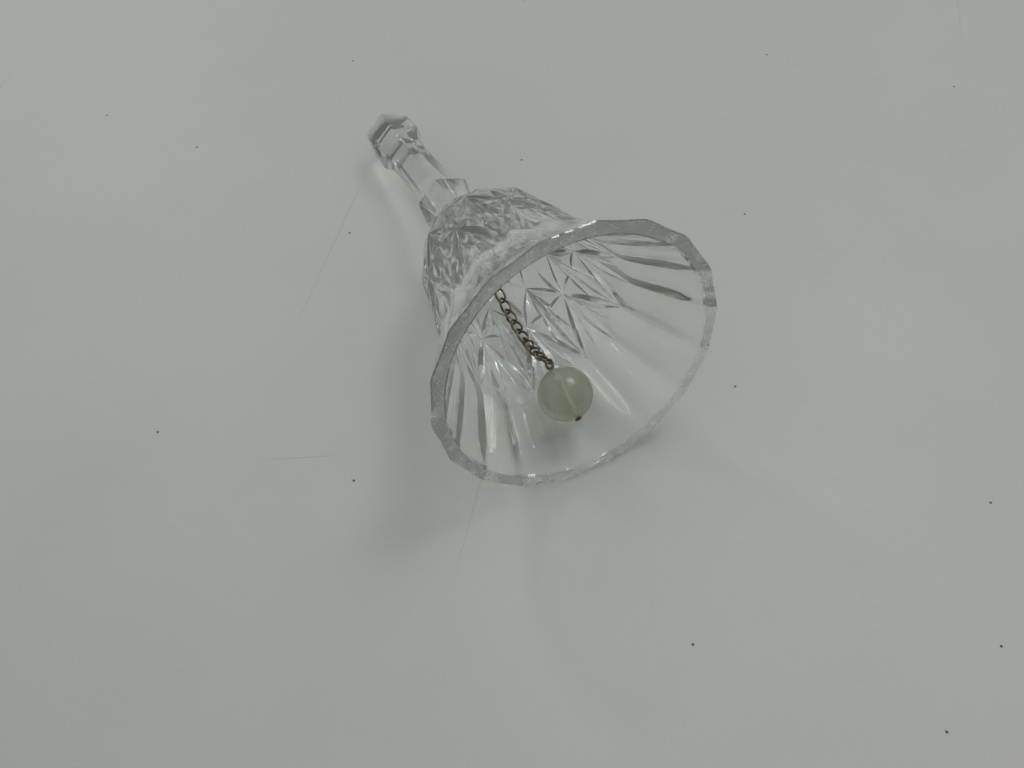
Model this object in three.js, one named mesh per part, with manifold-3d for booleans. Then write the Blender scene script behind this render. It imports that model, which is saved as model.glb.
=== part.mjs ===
// A pressed-glass dinner bell, lying on its side, with a drilled glass bead
// hung from its crown on a brass curb chain. Millimetres, +Z up, table at z = 0.
import * as THREE from "three";
import { mergeVertices } from "three/addons/utils/BufferGeometryUtils.js";
import Module from "manifold-3d";

const wasm = await Module();
wasm.setup();

// Outside of the glass: heights run from the mouth to the knob, radii to the corners
const mouth_radius = 32;
const skirt_height = 12.8;
const skirt_radius = 25.3;
const fold_height = 19.2; // the flutes end and the stars begin
const fold_radius = 22.5;
const star_height = 35.2; // the middle of each star
const star_radius = 18.1;
const shoulder_height = 44.8; // the upper points of the stars
const shoulder_radius = 16;
const crown_height = 54.4;
const crown_radius = 11;
const collar_foot_height = 63;
const collar_foot_radius = 6.5;
const collar_height = 70.6;
const collar_radius = 7.5;
const neck_height = 100.7;
const neck_radius = 5;
const knob_foot_height = 104;
const knob_radius = 7.5;
const knob_shoulder_height = 113;
const knob_end_radius = 6.3;
const bell_height = 115.2;

// Pressed pattern
const flute_count = 18;
const star_count = 9;
const handle_sides = 6;
const flute_hollow = 0.4; // below the flat between two flute corners
const star_cut = 1; // depth of a star's rays at their middle
const first_rib = THREE.MathUtils.degToRad(10); // a rib beside the topmost line
const handle_corner = Math.PI - first_rib; // a corner of the knob in line with the rib it rests with

// Wall of the cup, and the socket that holds the chain's anchor
const rim_wall = 3.5;
const skirt_wall = 4;
const fold_wall = 3.1;
const star_wall = 3.1;
const shoulder_wall = 4.3;
const dome_height = 58.5;
const socket_radius = 2.6;
const socket_depth = 5;

// Anchor: a wire eye set in a plug of cement
const seat_gap = 0.3;
const plug_proud = 0.6; // how far the cement stands out of the socket
const eye_wire = 0.8;
const eye_radius = 1.9; // to the middle of the wire
const eye_shank = 2.6; // from the plug's face to the middle of the loop
const eye_set = 3.6; // length of shank inside the cement

// Curb chain
const jump_radius = 1.9;
const jump_wire = 0.55;
const jump_turn = THREE.MathUtils.degToRad(60); // its plane, against the curb links' flat
const curb_count = 12;
const link_wire = 0.56;
const link_width = 2.56; // outside, before the twist
const link_twist = THREE.MathUtils.degToRad(55); // each end, against the middle
const end_link_length = 5.2;
const end_link_width = 2.9;
const end_link_wire = 0.6;
const link_play = 1; // between the middles of two wires that hook each other
const chain_off_wall = 2.2;
const chain_drop_height = 40; // where the chain comes down to the wall
const chain_rise_height = 28; // where it starts to rise to the bead

// Bead and its pin
const bead_radius = 6;
const bead_bore = 1.15;
const bead_gap = 0.3; // to the wall that it lies beside
const bead_rest_height = 12.3; // where it lies on the wall, up from the mouth
const pin_wire = 0.6;
const pin_loop_radius = 1;
const pin_head_radius = 0.85;
const pin_head_thickness = 0.45;

// Steps of the meshes
const steps_per_flute = 4;
const columns = flute_count * steps_per_flute;
const columns_per_star = columns / star_count;
const star_rows = columns_per_star / 2; // above a star's middle, and below it
const flute_rows = 5;
const crown_rows = 5;
const shaft_rows = 5;
const wall_rows = 13;
const wire_sides = 7;
const link_steps = 22;
const loop_steps = 20;
const bead_columns = 28;
const bead_rows = 14;

const full_turn = 2 * Math.PI;

// Heights from one level up to another, without the first level
function levels(from, to, count) {
  const step = (to - from) / count;
  return Array.from({ length: count }, (_, i) => from + (i + 1) * step);
}

// A smooth outline through points given as [radius, height]
function outline(points) {
  const curve = new THREE.SplineCurve(points.map(([r, z]) => new THREE.Vector2(r, z)));
  const fine = curve.getPoints(20 * points.length);
  const rounding = 1e-6;
  return (z) => {
    const above = Math.max(1, fine.findIndex((p) => p.y >= z - rounding));
    const [a, b] = [fine[above - 1], fine[above]];
    return THREE.MathUtils.mapLinear(z, a.y, b.y, a.x, b.x);
  };
}

const cup_outside = outline([
  [mouth_radius, 0],
  [skirt_radius, skirt_height],
  [fold_radius, fold_height],
  [star_radius, star_height],
  [shoulder_radius, shoulder_height],
  [crown_radius, crown_height],
  [collar_foot_radius, collar_foot_height],
]);
const cup_inside = outline([
  [mouth_radius - rim_wall, 0],
  [skirt_radius - skirt_wall, skirt_height],
  [fold_radius - fold_wall, fold_height],
  [star_radius - star_wall, star_height],
  [shoulder_radius - shoulder_wall, shoulder_height],
  [socket_radius, dome_height],
]);

// How far a side of a regular polygon lies inside its corners' circle, as a factor
function polygonFactor(angle, sides, corner) {
  const half = Math.PI / sides;
  const from_corner = THREE.MathUtils.euclideanModulo(angle - corner, 2 * half);
  return Math.cos(half) / Math.cos(from_corner - half);
}

function fluteFactor(angle) {
  return polygonFactor(angle, flute_count, first_rib);
}

function handleFactor(angle) {
  return polygonFactor(angle, handle_sides, handle_corner);
}

// Depth of a flute's hollow at an angle: none at its corners, all in the middle
function fluteHollow(angle) {
  const width = full_turn / flute_count;
  const across = THREE.MathUtils.euclideanModulo(angle - first_rib, width) / width;
  return 4 * flute_hollow * across * (1 - across);
}

// Depth of a star's eight rays: lens-shaped cuts that start and end at nothing
function rayDepth(column, row) {
  const middle = columns_per_star / 2;
  const across = THREE.MathUtils.euclideanModulo(column + middle, columns_per_star) - middle;
  const on_ray = across === 0 || row === 0 || Math.abs(across) === Math.abs(row);
  const along = Math.max(Math.abs(across), Math.abs(row)) / star_rows;
  return on_ray ? star_cut * Math.sin(Math.PI * along) : 0;
}

// One ring of the glass: its height, its radius in each column, and which way its cells are split
function ring(z, radiusIn, star_row = 0) {
  const radii = Array.from({ length: columns }, (_, c) => {
    const angle = first_rib + (full_turn * c) / columns;
    return radiusIn(angle, c);
  });
  return { z, radii, star_row };
}

function fluteRing(z) {
  const r = cup_outside(z);
  return ring(z, (angle) => r * fluteFactor(angle) - fluteHollow(angle));
}

function starRing(z, row) {
  const r = cup_outside(z);
  const flute = Math.max(0, -row / star_rows) ** 2; // the flutes die away under the stars
  return ring(
    z,
    (angle, c) => {
      const flat = r * (1 - flute + flute * fluteFactor(angle));
      return flat - flute * fluteHollow(angle) - rayDepth(c, row);
    },
    row,
  );
}

function crownRing(z) {
  const r = cup_outside(z);
  const hexagon = (z - shoulder_height) / (collar_foot_height - shoulder_height);
  return ring(z, (angle) => r * (1 - hexagon + hexagon * handleFactor(angle)));
}

function handleRing(z, r) {
  return ring(z, (angle) => r * handleFactor(angle));
}

function roundRing(z, r) {
  return ring(z, () => r);
}

// Skin through a stack of rings, closed at both ends by a fan to the axis
function skin(rings) {
  const points = [0, 0, rings[0].z];
  for (const { z, radii } of rings)
    radii.forEach((r, c) => {
      const angle = first_rib + (full_turn * c) / columns;
      points.push(r * Math.cos(angle), r * Math.sin(angle), z);
    });
  const last = points.length / 3;
  points.push(0, 0, rings[rings.length - 1].z);
  const at = (row, c) => 1 + row * columns + (c % columns);
  const faces = [];
  for (let c = 0; c < columns; c++) {
    faces.push(0, at(0, c), at(0, c + 1));
    faces.push(last, at(rings.length - 1, c + 1), at(rings.length - 1, c));
  }
  for (let row = 0; row + 1 < rings.length; row++)
    for (let c = 0; c < columns; c++) {
      const [a, b] = [at(row, c), at(row, c + 1)];
      const [d, e] = [at(row + 1, c), at(row + 1, c + 1)];
      // the cells of a star are split along its rays
      const right_half = c % columns_per_star < columns_per_star / 2;
      const upper_half = rings[row].star_row > 0;
      if (right_half === upper_half) faces.push(a, d, b, b, d, e);
      else faces.push(a, d, e, a, e, b);
    }
  const skin_geometry = new THREE.BufferGeometry();
  skin_geometry.setAttribute("position", new THREE.Float32BufferAttribute(points, 3));
  skin_geometry.setIndex(faces);
  return skin_geometry;
}

function glassGeometry() {
  const shaft = levels(0, 1, shaft_rows).map((s) => {
    const flare = (1 - s) ** 2;
    const z = THREE.MathUtils.lerp(collar_height, neck_height, s);
    return handleRing(z, THREE.MathUtils.lerp(neck_radius, collar_radius, flare));
  });
  const upper_star = levels(star_height, shoulder_height, star_rows);
  const lower_star = [fold_height, ...levels(fold_height, star_height, star_rows)];
  const outside = [
    ...levels(0, fold_height, flute_rows).slice(0, -1).map(fluteRing),
    ...lower_star.map((z, i) => starRing(z, i - star_rows)),
    ...upper_star.map((z, i) => starRing(z, i + 1)),
    ...levels(shoulder_height, collar_foot_height, crown_rows).map(crownRing),
    handleRing(collar_height, collar_radius),
    ...shaft,
    handleRing(knob_foot_height, knob_radius),
    handleRing(knob_shoulder_height, knob_radius),
    handleRing(bell_height, knob_end_radius),
  ];
  const dome = levels(0, dome_height, wall_rows).map((z) => roundRing(z, cup_inside(z)));
  return skin([
    ...outside.reverse(),
    fluteRing(0),
    roundRing(0, mouth_radius - rim_wall),
    ...dome,
    roundRing(dome_height + socket_depth, socket_radius),
  ]);
}

// A closed geometry as a solid, for joining and cutting
function solid(geometry) {
  const bare = geometry.clone();
  bare.deleteAttribute("normal");
  bare.deleteAttribute("uv");
  const merged = mergeVertices(bare);
  return new wasm.Manifold(
    new wasm.Mesh({
      numProp: 3,
      vertProperties: merged.attributes.position.array,
      triVerts: new Uint32Array(merged.index.array),
    }),
  );
}

// Several overlapping geometries joined into one closed body
function joined(...geometries) {
  const whole = geometries.map(solid).reduce((a, b) => a.add(b));
  const { vertProperties, triVerts } = whole.getMesh();
  const made = new THREE.BufferGeometry();
  made.setAttribute("position", new THREE.BufferAttribute(vertProperties, 3));
  made.setIndex(new THREE.BufferAttribute(triVerts, 1));
  return made;
}

// A turned shape about +X from [radius, place along X] points, off or on the axis at its ends
function turned(points, segments) {
  const profile = points.map(([r, x]) => new THREE.Vector2(r, x));
  return new THREE.LatheGeometry(profile, segments).rotateZ(-Math.PI / 2);
}

// A wire loop in a plane through X, turned about X by an angle, its middle at x
function wireLoop(radius, wire, angle, x) {
  const loop = new THREE.TorusGeometry(radius, wire / 2, wire_sides, loop_steps);
  return loop.rotateX(angle).translate(x, 0, 0);
}

// The middle line of an oval link, whose two ends are twisted against each other
class LinkLine extends THREE.Curve {
  constructor(length, width, twist) {
    super();
    Object.assign(this, { length, width, twist });
  }
  getPoint(t) {
    const turn = full_turn * t;
    const across = (this.width / 2) * Math.sin(turn);
    const tilt = this.twist * Math.cos(turn);
    const along = (this.length / 2) * Math.cos(turn);
    return new THREE.Vector3(along, across * Math.cos(tilt), across * Math.sin(tilt));
  }
}

function linkGeometry(length, width, wire, twist) {
  const line = new LinkLine(length - wire, width - wire, twist);
  return new THREE.TubeGeometry(line, link_steps, wire / 2, wire_sides, true);
}

// Materials
const clear_glass = { color: 0xe8eeec, roughness: 0.04, metalness: 0 };
const cement = { color: 0xcfcabd, roughness: 0.9, metalness: 0 };
const old_brass = { color: 0x6b5a44, roughness: 0.4, metalness: 1 };
const frosted_glass = { color: 0x9aa396, roughness: 0.35, metalness: 0 };

function piece(name, geometry, finish) {
  const mesh = new THREE.Mesh(geometry, new THREE.MeshStandardMaterial(finish));
  mesh.name = name;
  return mesh;
}

// The bell stands mouth down about +Z here; the clapper hangs towards -X, the side it lies on
const bell = new THREE.Group();
bell.add(piece("glass_bell", glassGeometry(), clear_glass));

// In this group +X points to the side that the bell lies on
const clapper = new THREE.Group();
clapper.rotation.z = Math.PI;
bell.add(clapper);

// Turns a piece made along +X so that it leans by an angle from straight down to the mouth
function lean(mesh, x, z, angle) {
  mesh.position.set(x, 0, z);
  mesh.rotation.y = Math.PI / 2 - angle;
  clapper.add(mesh);
}

// Cement plug, with a hole for the shank of the eye
const plug_face = dome_height - plug_proud;
const plug_length = plug_proud + socket_depth - seat_gap;
const plug_radius = socket_radius - seat_gap;
const shank_hole = eye_wire / 2 + seat_gap;
const plug_points = [
  [0, -plug_length],
  [plug_radius, -plug_length],
  [plug_radius, 0],
  [shank_hole, 0],
  [shank_hole, -eye_set - seat_gap],
  [0, -eye_set - seat_gap],
];
const plug = piece("cement_plug", turned(plug_points, bead_columns), cement);
lean(plug, 0, plug_face, 0);

// Wire eye: its loop stands square to the jump ring
const square = Math.PI / 2;
const shank = [
  [0, -eye_set - eye_shank],
  [eye_wire / 2, -eye_set - eye_shank],
  [eye_wire / 2, -eye_radius],
  [0, -eye_radius],
];
const eye_geometry = joined(
  wireLoop(eye_radius, eye_wire, jump_turn - square, 0),
  turned(shank, wire_sides),
);
const eye_height = plug_face - eye_shank;
lean(piece("wire_eye", eye_geometry, old_brass), 0, eye_height, 0);

// Jump ring: it hangs in the eye, and its origin is where the two wires cross
const jump_hook = eye_height - eye_radius + link_play / 2;
const jump_middle = jump_radius - link_play / 2;
const jump_loop = wireLoop(jump_radius, jump_wire, jump_turn, jump_middle);
lean(piece("chain_link_01", jump_loop, old_brass), 0, jump_hook, 0);

// A point at some distance inside the wall, from the height where the wall is met
function offWall(height, distance) {
  const small = 0.1;
  const slope = (cup_inside(height + small) - cup_inside(height - small)) / (2 * small);
  const tilt = Math.atan(-slope);
  const x = cup_inside(height) - distance * Math.cos(tilt);
  return { x, z: height - distance * Math.sin(tilt), tilt };
}

// The bead lies beside the lower wall, and its bore runs along that wall
const bead_middle = offWall(bead_rest_height, bead_radius + bead_gap);
const pin_lean = bead_middle.tilt;
const loop_reach = bead_radius + seat_gap + pin_wire / 2 + pin_loop_radius;
const pin_hook_reach = loop_reach + pin_loop_radius - link_play / 2;
const pin_hook = new THREE.Vector3(
  bead_middle.x - pin_hook_reach * Math.sin(pin_lean),
  0,
  bead_middle.z + pin_hook_reach * Math.cos(pin_lean),
);

// The chain drops from the jump ring to the wall, follows it, and rises to the bead
const first_hook = jump_hook - 2 * jump_radius + link_play;
const upper_touch = offWall(chain_drop_height, chain_off_wall);
const lower_touch = offWall(chain_rise_height, chain_off_wall);
const chain_line = new THREE.CatmullRomCurve3([
  new THREE.Vector3(0, 0, first_hook),
  new THREE.Vector3(upper_touch.x, 0, upper_touch.z),
  new THREE.Vector3(lower_touch.x, 0, lower_touch.z),
  pin_hook,
]);
const end_spacing = end_link_length - end_link_wire - link_play;
const line_length = chain_line.getLength();
const curb_spacing = (line_length - end_spacing) / curb_count;
const link_length = curb_spacing + link_play + link_wire; // outside

// Where each link hooks the one before, and the pin at last
const hooks = [];
for (let i = 0; i <= curb_count; i++)
  hooks.push(chain_line.getPointAt((i * curb_spacing) / line_length));
hooks.push(pin_hook);

function leanBetween(a, b) {
  return Math.atan2(b.x - a.x, a.z - b.z);
}

for (let i = 0; i < curb_count; i++) {
  const geometry = linkGeometry(link_length, link_width, link_wire, link_twist);
  geometry.translate(curb_spacing / 2, 0, 0);
  const name = "chain_link_" + String(i + 2).padStart(2, "0");
  const link = piece(name, geometry, old_brass);
  lean(link, hooks[i].x, hooks[i].z, leanBetween(hooks[i], hooks[i + 1]));
}

// Plain oval link between the curb chain and the pin
const end_geometry = linkGeometry(end_link_length, end_link_width, end_link_wire, 0);
end_geometry.rotateX(link_twist - square).translate(end_spacing / 2, 0, 0);
const end_hook = hooks[curb_count];
const end_lean = leanBetween(end_hook, pin_hook);
lean(piece("end_link", end_geometry, old_brass), end_hook.x, end_hook.z, end_lean);

// Pin through the bead, with a loop at the chain and a flattened head past the bead
const loop_middle = pin_loop_radius - link_play / 2;
const head_inside = pin_hook_reach + bead_radius + seat_gap;
const pin_points = [
  [0, loop_middle + pin_loop_radius],
  [pin_wire / 2, loop_middle + pin_loop_radius],
  [pin_wire / 2, head_inside],
  [pin_head_radius, head_inside],
  [pin_head_radius, head_inside + pin_head_thickness],
  [0, head_inside + pin_head_thickness],
];
const pin_geometry = joined(
  wireLoop(pin_loop_radius, pin_wire, link_twist, loop_middle),
  turned(pin_points, 2 * wire_sides),
);
lean(piece("bead_pin", pin_geometry, old_brass), pin_hook.x, pin_hook.z, pin_lean);

// Drilled bead
const bore_edge = Math.asin(bead_bore / 2 / bead_radius);
const bead_points = [];
for (let i = 0; i <= bead_rows; i++) {
  const angle = THREE.MathUtils.lerp(Math.PI - bore_edge, bore_edge, i / bead_rows);
  bead_points.push([bead_radius * Math.sin(angle), bead_radius * Math.cos(angle)]);
}
bead_points.push(bead_points[0]);
const bead = piece("bead", turned(bead_points, bead_columns), frosted_glass);
lean(bead, bead_middle.x, bead_middle.z, pin_lean);

// Laid on its side: it rests on two corners of the rim and one corner of the knob
const drop = (mouth_radius - knob_radius) * Math.cos(first_rib);
const tilt = Math.atan2(drop, knob_shoulder_height);
bell.rotation.y = -(Math.PI / 2 + tilt);

// The origin is in the middle of the bell's footprint, on the table
const part = new THREE.Group();
part.add(bell);
const box = new THREE.Box3().setFromObject(part, true);
const middle = box.getCenter(new THREE.Vector3());
bell.position.set(-middle.x, -middle.y, -box.min.z);

export default part;
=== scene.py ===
# A pressed-glass dinner bell lying on its side, with a frosted bead hung in it on a brass chain
import bpy
import bmesh
import math
from mathutils import Matrix, Vector, noise


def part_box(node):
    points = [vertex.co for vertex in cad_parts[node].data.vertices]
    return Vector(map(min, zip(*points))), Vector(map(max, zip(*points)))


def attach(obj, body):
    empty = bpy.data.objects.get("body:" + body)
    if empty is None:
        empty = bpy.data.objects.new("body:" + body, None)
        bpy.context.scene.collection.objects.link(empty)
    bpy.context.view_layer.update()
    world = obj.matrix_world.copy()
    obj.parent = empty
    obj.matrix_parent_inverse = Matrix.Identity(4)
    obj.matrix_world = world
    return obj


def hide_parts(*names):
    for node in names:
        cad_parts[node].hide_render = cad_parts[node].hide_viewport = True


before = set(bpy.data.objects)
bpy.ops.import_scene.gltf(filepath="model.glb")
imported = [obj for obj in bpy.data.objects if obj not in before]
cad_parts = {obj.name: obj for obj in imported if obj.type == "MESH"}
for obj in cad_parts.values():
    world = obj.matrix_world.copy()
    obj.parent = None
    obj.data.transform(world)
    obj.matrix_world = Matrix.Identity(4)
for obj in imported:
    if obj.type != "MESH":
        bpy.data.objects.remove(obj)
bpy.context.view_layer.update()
MM = 0.001

# The camera looks down into the mouth from the side on which the bell was photographed.
# Its place and turn were found by fitting the rim, the knob and the bead to the photograph.
CAMERA_PLACE = Vector((144.35, -54.19, 172.45)) * MM
CAMERA_RIGHT = Vector((0.4382, 0.8984, -0.0321))
CAMERA_UP = Vector((-0.7239, 0.3738, 0.5800))
LENS = 31.64
SENSOR_WIDTH = 36
NEAREST_SEEN = 10 * MM

camera = bpy.data.objects.new("camera", bpy.data.cameras.new("camera"))
bpy.context.collection.objects.link(camera)
camera.data.lens = LENS
camera.data.sensor_width = SENSOR_WIDTH
camera.data.clip_start = NEAREST_SEEN
right = CAMERA_RIGHT.normalized()
backward = right.cross(CAMERA_UP).normalized()
up = backward.cross(right)
camera_turn = Matrix((right, up, backward)).transposed()
camera.matrix_world = Matrix.Translation(CAMERA_PLACE) @ camera_turn.to_4x4()
bpy.context.scene.camera = camera
bpy.context.scene.view_settings.view_transform = "Standard"

# The table is a matt, pale grey laminate board, a little cloudy in tone. It carries a few dark
# specks of dirt and some faint, straight scratches from use.
TABLE_HALF = 1.5
TABLE_GREY = "#a4a5a0"
TABLE_SHADE = "#9c9d98"
CLOUD_SIZE = 50 * MM
SPECK_GREY = "#3c3c3a"
SPECK_SPACING = 65 * MM
SPECK_SIZE = 0.3 * MM
SCRATCH_GREY = "#92948f"
SCRATCH_SIZE = 0.12 * MM
# each set of scratches: its direction, how far its specks are drawn out, and their spacing
SCRATCHES = [(0.4, 70, 30 * MM), (-0.9, 260, 9 * MM)]


def linear(colour):
    """An sRGB hex colour as the linear colour that Blender's sockets take."""
    shares = [int(colour[i : i + 2], 16) / 255 for i in (1, 3, 5)]
    return [s / 12.92 if s <= 0.04045 else ((s + 0.055) / 1.055) ** 2.4 for s in shares] + [1]


def add(tree, kind, settings=None, **inputs):
    """Adds a node: settings are its own properties, inputs are values or the sockets to link.
    An input is given by its name, or as n and its number where names repeat."""
    made = tree.nodes.new("ShaderNode" + kind)
    for name, value in (settings or {}).items():
        setattr(made, name, value)
    for name, value in inputs.items():
        numbered = name[0] == "n" and name[1:].isdigit()
        socket = made.inputs[int(name[1:]) if numbered else name.replace("_", " ")]
        if isinstance(value, bpy.types.NodeSocket):
            tree.links.new(value, socket)
        else:
            socket.default_value = value
    return made


def new_material(name):
    """A new material and its node tree, empty."""
    material = bpy.data.materials.new(name)
    material.use_nodes = True
    material.node_tree.nodes.clear()
    return material, material.node_tree


bpy.ops.object.select_all(action="DESELECT")
bpy.ops.mesh.primitive_plane_add(size=2 * TABLE_HALF)
table = bpy.context.active_object
table.name = "table"

# laminate: a matt, even skin without gloss, so that shadows lie on it soft and grey. Every cell
# of a pattern holds one speck, and a pattern that is drawn out turns its specks into scratches.
laminate, tree = new_material("pale grey laminate")
place = add(tree, "TexCoord").outputs["Object"]
cloud = add(tree, "TexNoise", Vector=place, Scale=1 / CLOUD_SIZE, Detail=4).outputs["Fac"]
shade = add(tree, "Mix", {"data_type": "RGBA"}, n0=cloud, n6=linear(TABLE_GREY), n7=linear(TABLE_SHADE))
marks = [(place, SPECK_SPACING, SPECK_SIZE, SPECK_GREY)]
for turn, stretch, spacing in SCRATCHES:
    swung = add(tree, "Mapping", Vector=place, Rotation=(0, 0, turn)).outputs["Vector"]
    drawn_out = add(tree, "Mapping", Vector=swung, Scale=(1, 1 / stretch, 1)).outputs["Vector"]
    marks.append((drawn_out, spacing, SCRATCH_SIZE, SCRATCH_GREY))
for where, spacing, size, grey in marks:
    cells = add(tree, "TexVoronoi", {"voronoi_dimensions": "2D"}, Vector=where, Scale=1 / spacing)
    near = cells.outputs["Distance"]
    mark = add(tree, "Math", {"operation": "LESS_THAN"}, n0=near, n1=size / spacing).outputs[0]
    shade = add(tree, "Mix", {"data_type": "RGBA"}, n0=mark, n6=shade.outputs[2], n7=linear(grey))
face = add(tree, "BsdfPrincipled", Base_Color=shade.outputs[2], Roughness=0.55)
add(tree, "OutputMaterial", Surface=face.outputs[0])
table.data.materials.append(laminate)

# Soft light from a large window on the right and a ceiling lamp behind the handle, in a room
# that is darker low down, which is what the glass shows as its grey strokes. Two small
# bulbs put the glints on its edges.
SKY_BRIGHT = "#e2e4e4"
SKY_DARK = "#8c908e"
SKY_FULL = 0.75
ROOM_LIGHT = 0.8
# each lamp: its name, its place, the side of its square and its power
LAMPS = [
    ("window", Vector((-0.2, 0.65, 1.2)), 0.4, 6),
    ("ceiling lamp", Vector((-0.95, -0.15, 0.75)), 0.17, 2),
    ("bulb on the left", Vector((0.1, -0.7, 1.0)), 0.03, 0.2),
    ("bulb overhead", Vector((0.35, 0.3, 1.2)), 0.03, 0.2),
]

world = bpy.data.worlds.new("room")
world.use_nodes = True
bpy.context.scene.world = world
tree = world.node_tree
tree.nodes.clear()
ray = add(tree, "TexCoord").outputs["Generated"]
height = add(tree, "SeparateXYZ", Vector=ray).outputs["Z"]
lift = add(tree, "MapRange", Value=height, From_Min=0.0, From_Max=SKY_FULL).outputs["Result"]
sky = add(tree, "Mix", {"data_type": "RGBA"}, n0=lift, n6=linear(SKY_DARK), n7=linear(SKY_BRIGHT))
glow = add(tree, "Background", Color=sky.outputs[2], Strength=ROOM_LIGHT)
add(tree, "OutputWorld", Surface=glow.outputs[0])

for name, place, side, power in LAMPS:
    lamp = bpy.data.objects.new(name, bpy.data.lights.new(name, "AREA"))
    bpy.context.collection.objects.link(lamp)
    lamp.data.shape = "SQUARE"
    lamp.data.size = side
    lamp.data.energy = power
    aim = place.to_track_quat("Z", "Y").to_matrix()
    lamp.matrix_world = Matrix.Translation(place) @ aim.to_4x4()

# Glass bell: one gather of clear crystal, pressed in a mould whose wall carried the flutes, the
# stars and the six-sided handle, over a plunger that left the smooth inside. The mouth was
# then ground flat, which left the rim frosted.
# Its outlines are in millimetres, as radius and height above the ground rim.
MOUTH_RADIUS = 32
FOLD = 19.2
STAR_MIDDLE = 35.2
SHOULDER = 44.8
CROWN_LOW = 52
CROWN_HIGH = 58
COLLAR_FOOT = 63
OUTSIDE = [(MOUTH_RADIUS, 0), (25.3, 12.8), (22.5, FOLD), (18.5, STAR_MIDDLE), (16.9, SHOULDER)]
OUTSIDE += [(11.5, 54.4), (5.1, COLLAR_FOOT)]
COLLAR = [(7.7, 70.6), (6.95, 71.9), (6.3, 74)]
SHAFT = [(5.8, 78), (5.5, 84), (5.4, 90), (5.5, 96), (5.8, 100.7)]
KNOB = [(7.3, 104.4), (7.5, 105.2), (7.5, 112.6), (7.3, 113.2), (6.3, 115.2)]
SOCKET_RADIUS = 2.6
SOCKET_TOP = 63.5
HOLLOW_TOP = 58.5
INSIDE = [(28.5, 0), (21.3, 12.8), (19.4, FOLD), (15, STAR_MIDDLE), (11.7, SHOULDER)]
INSIDE += [(SOCKET_RADIUS, HOLLOW_TOP)]
RIM_CHAMFER = 0.3
CURVE_STEPS = 20

# the ribs between the flutes, the stars and the handle's corners, counted round the axis
FLUTES = 18
STARS = 9
HANDLE_SIDES = 6
COLUMNS = 12 * FLUTES
FIRST_RIB = math.radians(10)
HANDLE_CORNER = math.pi - FIRST_RIB
RIB_SOFTNESS = 0.07
CORNER_SOFTNESS = 0.06
FLUTE_HOLLOW = 1.1
FLUTE_AT_RIM = 0.12
FLUTE_FADE = 6
NICK_DEPTH = 0.3
NICKS_AROUND = 45


def spline(points):
    """A smooth outline through (radius, height) points, as a function from height to radius."""
    fine = []
    for i in range(len(points) - 1):
        near = [Vector(points[max(0, min(len(points) - 1, i + k))]) for k in (-1, 0, 1, 2)]
        start, end = (near[2] - near[0]) / 2, (near[3] - near[1]) / 2
        for step in range(CURVE_STEPS):
            t = step / CURVE_STEPS
            fine.append(
                near[1] * (2 * t**3 - 3 * t**2 + 1)
                + near[2] * (3 * t**2 - 2 * t**3)
                + start * (t**3 - 2 * t**2 + t)
                + end * (t**3 - t**2)
            )
    fine.append(Vector(points[-1]))

    def radius(height):
        for a, b in zip(fine, fine[1:]):
            if height <= b.y:
                share = (height - a.y) / (b.y - a.y)
                return a.x + (b.x - a.x) * share
        return fine[-1].x

    return radius


cup_outside = spline(OUTSIDE)
cup_inside = spline(INSIDE)


def across_side(angle, sides, corner, softness):
    """How far a point lies from the nearer corner of its side, 0.5 being the middle of the
    side, with the corners rounded off."""
    across = (angle - corner) * sides / (2 * math.pi) % 1
    return 0.5 * math.hypot(min(across, 1 - across), softness) / math.hypot(0.5, softness)


def side_factor(angle, sides, corner, softness=CORNER_SOFTNESS):
    """How far a side of a polygon lies inside its corners' circle."""
    half = math.pi / sides
    reach = across_side(angle, sides, corner, softness)
    return math.cos(half) / math.cos(half - 2 * half * reach)


def flute_factor(angle, height):
    """How far a flute lies inside its ribs' circle: flat across, and hollowed from there."""
    flat = side_factor(angle, FLUTES, FIRST_RIB, RIB_SOFTNESS)
    reach = across_side(angle, FLUTES, FIRST_RIB, RIB_SOFTNESS)
    depth = FLUTE_HOLLOW * min(1, FLUTE_AT_RIM + height / FLUTE_FADE)
    return flat - 4 * depth * reach * (1 - reach) / cup_outside(height)


def outside_factor(angle, height):
    """What turns the round outline into flutes below, into pointed facets on the crown, and
    into the handle's six sides above."""
    if height < FOLD:
        return flute_factor(angle, height)
    if height < STAR_MIDDLE:
        fade = ((STAR_MIDDLE - height) / (STAR_MIDDLE - FOLD)) ** 2
        return 1 + fade * (flute_factor(angle, height) - 1)
    beside = side_factor(angle, STARS, FIRST_RIB + math.pi / STARS)
    above = side_factor(angle, STARS, FIRST_RIB)
    hexagon = side_factor(angle, HANDLE_SIDES, HANDLE_CORNER)
    bands = [(STAR_MIDDLE, 1), (SHOULDER, beside), (CROWN_LOW, above), (CROWN_HIGH, beside)]
    bands.append((COLLAR_FOOT, hexagon))
    for (low, first), (high, last) in zip(bands, bands[1:]):
        if height <= high:
            return first + (last - first) * (height - low) / (high - low)
    return hexagon


def steps(low, high, count):
    """Heights from one level up to the next, without the first."""
    return [low + (high - low) * (i + 1) / count for i in range(count)]


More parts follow.
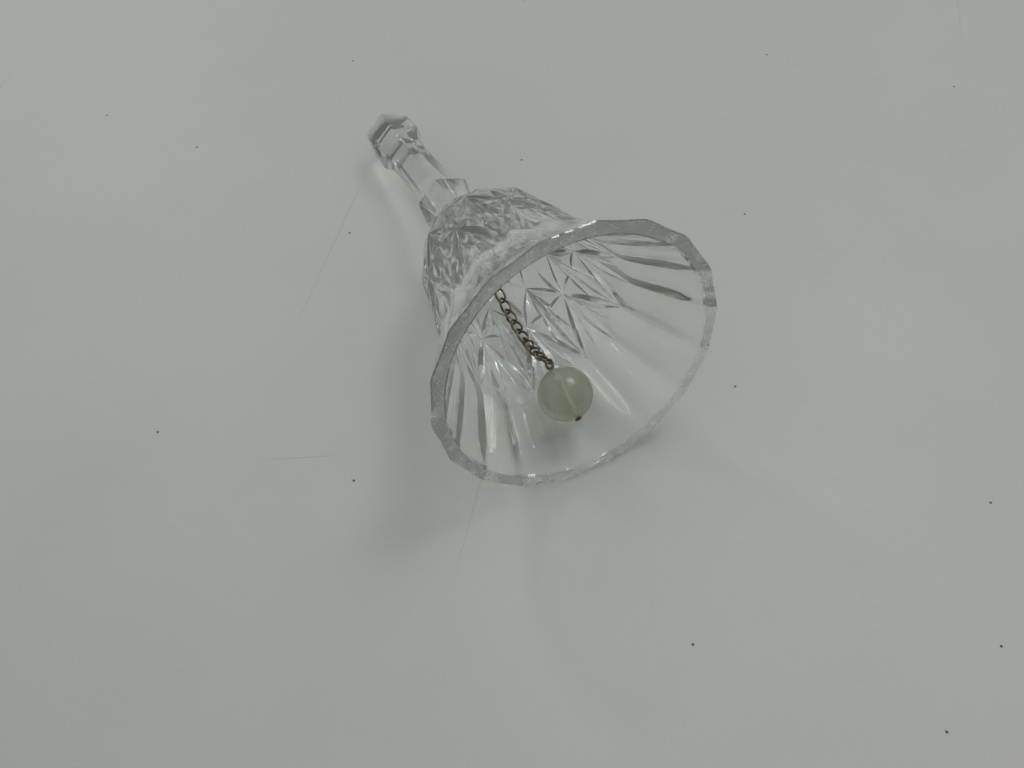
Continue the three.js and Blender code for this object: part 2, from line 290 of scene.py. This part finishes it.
def turned(name, profile, columns):
    """A closed shape turned about Z, drawn up ring by ring from (radius, height) points."""
    bpy.ops.object.select_all(action="DESELECT")
    radius, level = [size * MM for size in profile[0]]
    bpy.ops.mesh.primitive_circle_add(
        vertices=columns, radius=radius, location=(0, 0, level), fill_type="NGON"
    )
    made = bpy.context.active_object
    made.name = name
    bpy.ops.object.transform_apply()
    bpy.ops.object.mode_set(mode="EDIT")
    bpy.ops.mesh.select_all(action="SELECT")
    for point in profile[1:]:
        next_radius, next_level = [size * MM for size in point]
        rise = (0, 0, next_level - level)
        bpy.ops.mesh.extrude_region_move(TRANSFORM_OT_translate={"value": rise})
        share = next_radius / radius
        bpy.ops.transform.resize(value=(share, share, 1), center_override=(0, 0, next_level))
        radius, level = next_radius, next_level
    bpy.ops.mesh.select_all(action="SELECT")
    bpy.ops.mesh.normals_make_consistent(inside=False)
    bpy.ops.object.mode_set(mode="OBJECT")
    return made


# rings of points from one height at which the shape changes up to the next
outer_levels = [RIM_CHAMFER] + steps(RIM_CHAMFER, FOLD, 12) + steps(FOLD, STAR_MIDDLE, 14)
outer_levels += steps(STAR_MIDDLE, SHOULDER, 9) + steps(SHOULDER, CROWN_LOW, 5)
outer_levels += steps(CROWN_LOW, CROWN_HIGH, 4) + steps(CROWN_HIGH, COLLAR_FOOT, 4)
outer_profile = [(MOUTH_RADIUS - RIM_CHAMFER, 0)] + [(cup_outside(z), z) for z in outer_levels]
outer_profile += COLLAR + SHAFT + KNOB
glass = turned("glass_bell_pressed", outer_profile, COLUMNS)
for point in glass.data.vertices:
    angle = math.atan2(point.co.y, point.co.x)
    height = point.co.z / MM
    factor = outside_factor(angle, height)
    if point.co.z <= RIM_CHAMFER * MM:
        # grinding left small nicks along the outer edge
        nick = abs(noise.noise(Vector((NICKS_AROUND * angle, height, 0))))
        factor -= NICK_DEPTH / MOUTH_RADIUS * nick
    point.co.x *= factor
    point.co.y *= factor


def finish_with(thing, kind, **settings):
    """Adds a modifier and applies it."""
    bpy.ops.object.select_all(action="DESELECT")
    bpy.context.view_layer.objects.active = thing
    thing.select_set(True)
    modifier = thing.modifiers.new(kind.lower(), kind)
    for name, value in settings.items():
        setattr(modifier, name, value)
    bpy.ops.object.modifier_apply(modifier=modifier.name)


# the plunger takes out the inside, with the chamfer that grinding left on the rim's inner edge,
# and a pin in it the socket for the chain's anchor
PLUNGER_END = -1
inner_levels = [RIM_CHAMFER] + steps(0, HOLLOW_TOP, 30)
inner_profile = [(cup_inside(0) + RIM_CHAMFER, z) for z in (PLUNGER_END, 0)]
inner_profile += [(cup_inside(z), z) for z in inner_levels]
inner_profile.append((SOCKET_RADIUS, SOCKET_TOP))
plunger = turned("plunger", inner_profile, COLUMNS)
finish_with(glass, "BOOLEAN", object=plunger, operation="DIFFERENCE", solver="MANIFOLD")
bpy.data.objects.remove(plunger)


def in_edit(thing, picked):
    """Opens a mesh for editing with just the points selected that picked says yes to."""
    bpy.ops.object.select_all(action="DESELECT")
    bpy.context.view_layer.objects.active = thing
    thing.select_set(True)
    bpy.ops.object.mode_set(mode="EDIT")
    bpy.ops.mesh.select_mode(type="VERT")
    bpy.ops.mesh.select_all(action="DESELECT")
    mesh = bmesh.from_edit_mesh(thing.data)
    for point in mesh.verts:
        point.select = picked(point.co)
    mesh.select_flush(True)
    bmesh.update_edit_mesh(thing.data)


# the stars are made of rays like wheel cuts: straight, V-shaped grooves, widest and deepest in
# their middle, whose ends are given as degrees from a star's middle and height
MIDDLE = (0, STAR_MIDDLE)
NODE = (20, SHOULDER)
# each ray: its two ends, its width and its depth
RAYS = [
    (MIDDLE, (0, SHOULDER), 2.2, 0.7),
    (MIDDLE, (0, 17), 2.8, 1.1),
    (MIDDLE, (20, STAR_MIDDLE), 2.6, 0.9),
    (MIDDLE, (-20, STAR_MIDDLE), 2.6, 0.9),
    (MIDDLE, NODE, 2.2, 0.7),
    (MIDDLE, (-20, SHOULDER), 2.2, 0.7),
    (MIDDLE, (20, FOLD), 2.8, 1.1),
    (MIDDLE, (-20, FOLD), 2.8, 1.1),
    (MIDDLE, (10, 20), 1.5, 0.5),
    (MIDDLE, (-10, 20), 1.5, 0.5),
    (NODE, (12, 26), 1.8, 0.6),
    (NODE, (28, 26), 1.8, 0.6),
    (NODE, (20, FOLD), 2.4, 0.9),
    (NODE, (0, CROWN_LOW), 1.2, 0.35),
    (NODE, (40, CROWN_LOW), 1.2, 0.35),
]
RAY_STEPS = 10
RAY_TIP = 0.02
CUTTER_STANDS_OUT = 1.5
HEIGHT_STEP = 0.1
LOOK_AHEAD = 0.01


def on_glass(angle, height):
    """A point of the bell's outside, in millimetres, and the direction straight out from it."""
    radius = cup_outside(height) * outside_factor(angle, height)
    slope = (cup_outside(height + HEIGHT_STEP) - cup_outside(height - HEIGHT_STEP)) / (2 * HEIGHT_STEP)
    out = Vector((math.cos(angle), math.sin(angle), -slope)).normalized()
    return Vector((radius * math.cos(angle), radius * math.sin(angle), height)), out


def on_ray(star, start, end, share):
    """The point of the glass at a share of one ray's length, and the direction out from it."""
    angle = FIRST_RIB + star * 2 * math.pi / STARS
    angle += math.radians(start[0] + (end[0] - start[0]) * share)
    return on_glass(angle, start[1] + (end[1] - start[1]) * share)


def mitre(name, start, end, width, depth):
    """A cutter for the same ray of all the stars: four-sided, its lower edge in the glass."""
    points, faces = [], []
    for star in range(STARS):
        first = len(points)
        for i in range(RAY_STEPS + 1):
            t = i / RAY_STEPS
            place, out = on_ray(star, start, end, t)
            ahead, _ = on_ray(star, start, end, t + LOOK_AHEAD)
            side = out.cross(ahead - place).normalized()
            size = max(RAY_TIP, 4 * t * (1 - t))
            points.append(place + out * CUTTER_STANDS_OUT * depth * size)
            points.append(place + side * width / 2 * size)
            points.append(place - out * depth * size)
            points.append(place - side * width / 2 * size)
        for i in range(RAY_STEPS):
            for k in range(4):
                a = first + 4 * i + k
                b = first + 4 * i + (k + 1) % 4
                faces.append((a, b, b + 4, a + 4))
        faces.append([first + k for k in (3, 2, 1, 0)])
        faces.append([first + 4 * RAY_STEPS + k for k in (0, 1, 2, 3)])
    mesh = bpy.data.meshes.new(name)
    mesh.from_pydata([p * MM for p in points], [], faces)
    cutter = bpy.data.objects.new(name, mesh)
    bpy.context.collection.objects.link(cutter)
    in_edit(cutter, lambda place: True)
    bpy.ops.mesh.normals_make_consistent(inside=False)
    bpy.ops.object.mode_set(mode="OBJECT")
    return cutter


for number, (start, end, width, depth) in enumerate(RAYS):
    cutter = mitre(f"mitre_{number}", start, end, width, depth)
    finish_with(glass, "BOOLEAN", object=cutter, operation="DIFFERENCE", solver="MANIFOLD")
    bpy.data.objects.remove(cutter)
glass.data.validate()

# laid on its side as the frame has it, on a corner of the mouth and a corner of the knob
KNOB_RADIUS = 7.5
KNOB_SHOULDER = 113
JUMP_RING_HEIGHT = 52.5
CREASE = math.radians(24)
tilt = math.atan2((MOUTH_RADIUS - KNOB_RADIUS) * math.cos(FIRST_RIB), KNOB_SHOULDER)
glass.rotation_euler = (0, -(math.pi / 2 + tilt), 0)
bpy.ops.object.select_all(action="DESELECT")
bpy.context.view_layer.objects.active = glass
glass.select_set(True)
bpy.ops.object.transform_apply()
mouth_way = Vector((math.cos(tilt), 0, math.sin(tilt)))


def middle(node):
    """The middle of a modelled piece's box."""
    low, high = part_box(node)
    return (Vector(low) + Vector(high)) / 2


# the jump ring hangs on the bell's axis, so its middle says where the mouth is
mouth = middle("chain_link_01") + mouth_way * JUMP_RING_HEIGHT * MM
glass.location = mouth
bpy.ops.object.transform_apply()
bpy.ops.object.shade_smooth_by_angle(angle=CREASE)

# pressed crystal: fire-polished and clear, with a slow ripple from the chilled mould that bends
# what is seen through it. Its depth greys the light, so it looks darker where it is thick, and
# its shadow is pale because most of the light goes through.
RIPPLE_SIZE = 3 * MM
RIPPLE_HEIGHT = 0.1 * MM
crystal, tree = new_material("pressed crystal")
place = add(tree, "TexCoord").outputs["Object"]
swell = add(tree, "TexNoise", Vector=place, Scale=1 / RIPPLE_SIZE, Detail=1).outputs["Fac"]
ripple = add(tree, "Bump", Height=swell, Strength=0.6, Distance=RIPPLE_HEIGHT)
face = add(
    tree,
    "BsdfPrincipled",
    Base_Color=linear("#fdfefd"),
    Roughness=0.03,
    IOR=1.52,
    Transmission_Weight=0.93,
    Normal=ripple.outputs[0],
)
pale = add(tree, "BsdfTransparent", Color=linear("#dadddb"))
shadow = add(tree, "LightPath").outputs["Is Shadow Ray"]
both = add(tree, "MixShader", n0=shadow, n1=face.outputs[0], n2=pale.outputs[0])
tint = add(tree, "VolumeAbsorption", Color=linear("#9c9f98"), Density=30.0)
add(tree, "OutputMaterial", Surface=both.outputs[0], Volume=tint.outputs[0])
glass.data.materials.clear()
glass.data.materials.append(crystal)

# ground rim: the wheel's grit left fine pits that frost it, and wear has rubbed patches of it
# smooth again, which glint. It has no tint of depth, so that it stays as bright as it was seen.
GRIT_SIZE = 0.25 * MM
GRIT_DEPTH = 0.08 * MM
PATCH_SIZE = 2.2 * MM
PATCH_DEPTH = 0.35 * MM
ground, tree = new_material("ground glass rim")
place = add(tree, "TexCoord").outputs["Object"]
grit = add(tree, "TexNoise", Vector=place, Scale=1 / GRIT_SIZE, Detail=3).outputs["Fac"]
patches = add(tree, "TexNoise", Vector=place, Scale=1 / PATCH_SIZE, Detail=4).outputs["Fac"]
pits = add(tree, "Bump", Height=grit, Strength=0.7, Distance=GRIT_DEPTH).outputs[0]
waves = add(tree, "Bump", Height=patches, Strength=1.0, Distance=PATCH_DEPTH, Normal=pits)
shade = add(tree, "Mix", {"data_type": "RGBA"}, n0=patches, n6=linear("#c9cdc9"), n7=linear("#fdfffd"))
polish = add(tree, "MapRange", Value=patches, To_Min=0.5, To_Max=0.1)
face = add(
    tree,
    "BsdfPrincipled",
    Base_Color=shade.outputs[2],
    Roughness=polish.outputs["Result"],
    IOR=1.52,
    Transmission_Weight=0.8,
    Normal=waves.outputs[0],
)
add(tree, "OutputMaterial", Surface=face.outputs[0])
glass.data.materials.append(ground)

# the rim's faces are those that look straight out of the mouth and lie at its end
LOOKS_OUT = 0.9
rim_level = max(point.co.dot(mouth_way) for point in glass.data.vertices)
for polygon in glass.data.polygons:
    level = polygon.center.dot(mouth_way)
    on_rim = polygon.normal.dot(mouth_way) > LOOKS_OUT and level > rim_level - RIM_CHAMFER * MM
    polygon.material_index = 1 if on_rim else 0
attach(glass, "bell")
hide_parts("glass_bell")

# Wire eye: stout brass wire bent into a closed loop, whose shank is set in cement in the socket
# at the crown. Age has browned it, with brighter worn patches, as all the wire has.
EYE_HEIGHT = 55.3 * MM
EYE_RADIUS = 1.9 * MM
EYE_WIRE = 0.72 * MM
EYE_SHANK = 6.2 * MM
JUMP_TURN = math.radians(60)
SQUARE = math.pi / 2
SHARP_EDGE = math.radians(60)
METAL_CREASE = math.radians(40)


def settle(thing, name):
    """Names a piece just made and fixes its place and turn into its mesh."""
    bpy.ops.object.select_all(action="DESELECT")
    bpy.context.view_layer.objects.active = thing
    thing.select_set(True)
    bpy.ops.object.transform_apply()
    thing.name = name
    thing.data.materials.clear()
    return thing


def laid(thing, way, place):
    """Turns a piece made along X so that it runs along way, and puts its origin at place."""
    sideways = Vector((0, -1, 0))
    turn = Matrix((way, sideways, way.cross(sideways))).transposed()
    thing.matrix_world = Matrix.Translation(place) @ turn.to_4x4()
    return settle(thing, thing.name)


def wire_ring(name, radius, wire, turn, middle=0):
    """A closed ring of round wire, turned about X, whose middle lies at some distance along X."""
    bpy.ops.mesh.primitive_torus_add(
        major_radius=radius,
        minor_radius=wire / 2,
        major_segments=64,
        minor_segments=16,
        rotation=(turn, 0, 0),
    )
    ring = bpy.context.active_object
    ring.location.x = middle
    bpy.ops.object.shade_smooth()
    return settle(ring, name)


def wire_rod(name, wire, start, end):
    """A straight rod along X, with its ends a little rounded."""
    bpy.ops.mesh.primitive_cylinder_add(
        radius=wire / 2,
        depth=end - start,
        vertices=24,
        location=((start + end) / 2, 0, 0),
        rotation=(0, SQUARE, 0),
    )
    rod = settle(bpy.context.active_object, name)
    finish_with(rod, "BEVEL", width=wire / 6, segments=3, limit_method="ANGLE", angle_limit=SHARP_EDGE)
    bpy.ops.object.shade_smooth_by_angle(angle=METAL_CREASE)
    return rod


def one_piece(first, *others):
    """Joins pieces into the first."""
    bpy.ops.object.select_all(action="DESELECT")
    for thing in (first, *others):
        thing.select_set(True)
    bpy.context.view_layer.objects.active = first
    bpy.ops.object.join()
    return first


def hang(thing, material, body, node):
    """Gives a piece its finish and lets it take the place of its node on a body."""
    thing.data.materials.append(material)
    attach(thing, body)
    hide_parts(node)


# browned brass: drawn wire that has tarnished in patches, dull and dark brown in most places
# and a dull gold where it is rubbed. All the wire has this finish.
PATINA_SIZE = 0.7 * MM
brass, tree = new_material("browned brass wire")
place = add(tree, "TexCoord").outputs["Object"]
patina = add(tree, "TexNoise", Vector=place, Scale=1 / PATINA_SIZE, Detail=3).outputs["Fac"]
colour = add(tree, "ValToRGB", n0=patina)
colour.color_ramp.elements[0].position = 0.38
colour.color_ramp.elements[0].color = linear("#3b3126")
colour.color_ramp.elements[1].position = 0.68
colour.color_ramp.elements[1].color = linear("#8c7d66")
rubbed = add(tree, "MapRange", Value=patina, To_Min=0.5, To_Max=0.28)
face = add(
    tree,
    "BsdfPrincipled",
    Base_Color=colour.outputs[0],
    Metallic=1.0,
    Roughness=rubbed.outputs["Result"],
)
add(tree, "OutputMaterial", Surface=face.outputs[0])

eye = one_piece(
    wire_ring("wire_eye_bent", EYE_RADIUS, EYE_WIRE, JUMP_TURN - SQUARE),
    wire_rod("shank", EYE_WIRE, -EYE_SHANK, -EYE_RADIUS),
)
hang(laid(eye, mouth_way, mouth - mouth_way * EYE_HEIGHT), brass, "bell", "wire_eye")

# Jump ring: a ring of thinner brass wire, bent closed, that joins the chain to the eye and is
# free to turn in it.
JUMP_RADIUS = 1.9 * MM
JUMP_WIRE = 0.46 * MM
jump = wire_ring("jump_ring", JUMP_RADIUS, JUMP_WIRE, JUMP_TURN)
jump_middle = middle("chain_link_01")
hang(laid(jump, mouth_way, jump_middle), brass, "chain_link_01", "chain_link_01")

# Curb chain: twelve oval wire links, each twisted so that the next one lies flat in it, in
# the same browned brass. They are alike, so one is made and the rest are its copies.
LINK_LENGTH = 4.6 * MM
LINK_WIDTH = 2.56 * MM
LINK_WIRE = 0.56 * MM
LINK_TWIST = math.radians(55)
FIRST_LINK = 2
LAST_LINK = 13
# the three strings of four links that swing on their own
STRINGS = [("upper_chain", range(2, 6)), ("middle_chain", range(6, 10)), ("lower_chain", range(10, 14))]


def wire_oval(name, length, width, wire):
    """An oval link of round wire in the XY plane, from its outside length and width."""
    bpy.ops.curve.primitive_bezier_circle_add(radius=0.5)
    link = bpy.context.active_object
    bpy.ops.object.mode_set(mode="EDIT")
    bpy.ops.curve.select_all(action="SELECT")
    bpy.ops.transform.resize(value=(length - wire, width - wire, 1), center_override=(0, 0, 0))
    bpy.ops.object.mode_set(mode="OBJECT")
    link.data.bevel_depth = wire / 2
    link.data.bevel_resolution = 4
    link.data.resolution_u = 12
    bpy.ops.object.convert(target="MESH")
    bpy.ops.object.shade_smooth()
    return settle(bpy.context.active_object, name)


first_link = wire_oval("curb_link", LINK_LENGTH, LINK_WIDTH, LINK_WIRE)
finish_with(first_link, "SIMPLE_DEFORM", deform_method="TWIST", deform_axis="X", angle=2 * LINK_TWIST)
for string, numbers in STRINGS:
    for i in numbers:
        name = f"chain_link_{i:02d}"
        link = bpy.data.objects.new(f"curb_link_{i:02d}", first_link.data.copy())
        bpy.context.collection.objects.link(link)
        before = middle(name if i == FIRST_LINK else f"chain_link_{i - 1:02d}")
        after = middle("end_link" if i == LAST_LINK else f"chain_link_{i + 1:02d}")
        way = (after - before).normalized()
        hang(laid(link, way, middle(name)), brass, string, name)
bpy.data.objects.remove(first_link)

# End link: a plain, longer oval of the same brass wire that joins the curb chain to the loop of
# the pin, and points at that loop.
END_LENGTH = 5.2 * MM
END_WIDTH = 2.9 * MM
END_WIRE = 0.6 * MM
BEAD_LEAN = math.radians(26.66)
PIN_REACH = 8.1 * MM
bead_middle = middle("bead")
bead_way = Matrix.Rotation(BEAD_LEAN, 3, "Y") @ mouth_way
pin_hook = bead_middle - bead_way * PIN_REACH
end_link = wire_oval("end_link_bent", END_LENGTH, END_WIDTH, END_WIRE)
end_link.rotation_euler.x = LINK_TWIST - SQUARE
settle(end_link, "end_link_bent")
end_way = (pin_hook - middle("end_link")).normalized()
hang(laid(end_link, end_way, middle("end_link")), brass, "lower_chain", "end_link")

# Pin: a brass wire through the bead, with a loop bent at the chain and an upset, dished head
# that keeps the bead on.
PIN_WIRE = 0.6 * MM
PIN_LOOP = 1 * MM
LOOP_MIDDLE = -7.6 * MM
HEAD_INSIDE = 6.05 * MM
HEAD_RADIUS = 0.8 * MM
HEAD_THICKNESS = 0.4 * MM
HEAD_MIDDLE = HEAD_INSIDE + HEAD_THICKNESS / 2
pin_head = wire_ring("pin_head", HEAD_RADIUS - HEAD_THICKNESS / 2, HEAD_THICKNESS, 0)
pin_head.rotation_euler.y = SQUARE
pin_head.location.x = HEAD_MIDDLE
settle(pin_head, "pin_head")
pin = one_piece(
    wire_ring("pin_bent", PIN_LOOP, PIN_WIRE, LINK_TWIST, LOOP_MIDDLE),
    wire_rod("pin_shank", PIN_WIRE, LOOP_MIDDLE + PIN_LOOP, HEAD_MIDDLE),
    pin_head,
)
hang(laid(pin, bead_way, bead_middle), brass, "bead_pin", "bead_pin")

# Bead: pale green-grey glass, drilled, then tumbled until its skin turned silky. Light passes
# through it softened, and the bore shows as a paler streak.
BEAD_RADIUS = 6 * MM
BORE_RADIUS = 0.44 * MM
POLE_SIZE = 0.6 * MM
A_LITTLE_MORE = 1.01
bpy.ops.mesh.primitive_uv_sphere_add(segments=72, ring_count=40, radius=BEAD_RADIUS)
bead = bpy.context.active_object

# both poles are taken off, their edges drawn in to the bore, and the bore's wall put between
in_edit(bead, lambda place: place.to_2d().length < POLE_SIZE)
bpy.ops.mesh.delete(type="VERT")
bpy.ops.object.mode_set(mode="OBJECT")
hole = min(point.co.to_2d().length for point in bead.data.vertices)
in_edit(bead, lambda place: place.to_2d().length < hole * A_LITTLE_MORE)
drawn_in = BORE_RADIUS / hole
bpy.ops.transform.resize(value=(drawn_in, drawn_in, 1), center_override=(0, 0, 0))
bpy.ops.mesh.bridge_edge_loops()
bpy.ops.mesh.select_all(action="SELECT")
bpy.ops.mesh.normals_make_consistent(inside=False)
bpy.ops.object.mode_set(mode="OBJECT")
bead.rotation_euler.y = SQUARE
settle(bead, "bead_drilled")
bpy.ops.object.shade_smooth_by_angle(angle=METAL_CREASE)

# frosted glass: the tumbled skin blurs what is behind the bead, and its depth turns it green
HAZE_SIZE = 3 * MM
frosted, tree = new_material("frosted bead glass")
place = add(tree, "TexCoord").outputs["Object"]
haze = add(tree, "TexNoise", Vector=place, Scale=1 / HAZE_SIZE, Detail=2).outputs["Fac"]
shade = add(tree, "Mix", {"data_type": "RGBA"}, n0=haze, n6=linear("#d3d6c4"), n7=linear("#e4e6d6"))
face = add(
    tree,
    "BsdfPrincipled",
    Base_Color=shade.outputs[2],
    Roughness=0.25,
    IOR=1.5,
    Transmission_Weight=0.93,
)
murk = add(tree, "VolumeAbsorption", Color=linear("#a9b39a"), Density=40.0)
add(tree, "OutputMaterial", Surface=face.outputs[0], Volume=murk.outputs[0])
hang(laid(bead, bead_way, bead_middle), frosted, "bead", "bead")

# ground bore: the drill left it rough and chalky, so it shows as a pale streak in the bead
bore, tree = new_material("drilled bore, ground")
face = add(
    tree,
    "BsdfPrincipled",
    Base_Color=linear("#f1f0de"),
    Roughness=0.6,
    IOR=1.5,
    Transmission_Weight=0.6,
)
add(tree, "OutputMaterial", Surface=face.outputs[0])
bead.data.materials.append(bore)
for polygon in bead.data.polygons:
    off_axis = (polygon.center - bead_middle).cross(bead_way).length
    polygon.material_index = 1 if off_axis < BORE_RADIUS * A_LITTLE_MORE else 0

# Cement plug: grey plaster-like cement pressed into the socket around the eye's shank. It is
# the modelled plug itself, dull and crumbly, so it looks like a chalky spot in the crown.
CRUMB_SIZE = 0.4 * MM
CRUMB_DEPTH = 0.1 * MM
cement, tree = new_material("old cement")
place = add(tree, "TexCoord").outputs["Object"]
crumb = add(tree, "TexNoise", Vector=place, Scale=1 / CRUMB_SIZE, Detail=4).outputs["Fac"]
shade = add(tree, "Mix", {"data_type": "RGBA"}, n0=crumb, n6=linear("#b8b2a4"), n7=linear("#d6d1c4"))
crumbs = add(tree, "Bump", Height=crumb, Strength=0.4, Distance=CRUMB_DEPTH)
face = add(
    tree,
    "BsdfPrincipled",
    Base_Color=shade.outputs[2],
    Roughness=0.9,
    Normal=crumbs.outputs[0],
)
add(tree, "OutputMaterial", Surface=face.outputs[0])
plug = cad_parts["cement_plug"]
plug.data.materials.clear()
plug.data.materials.append(cement)
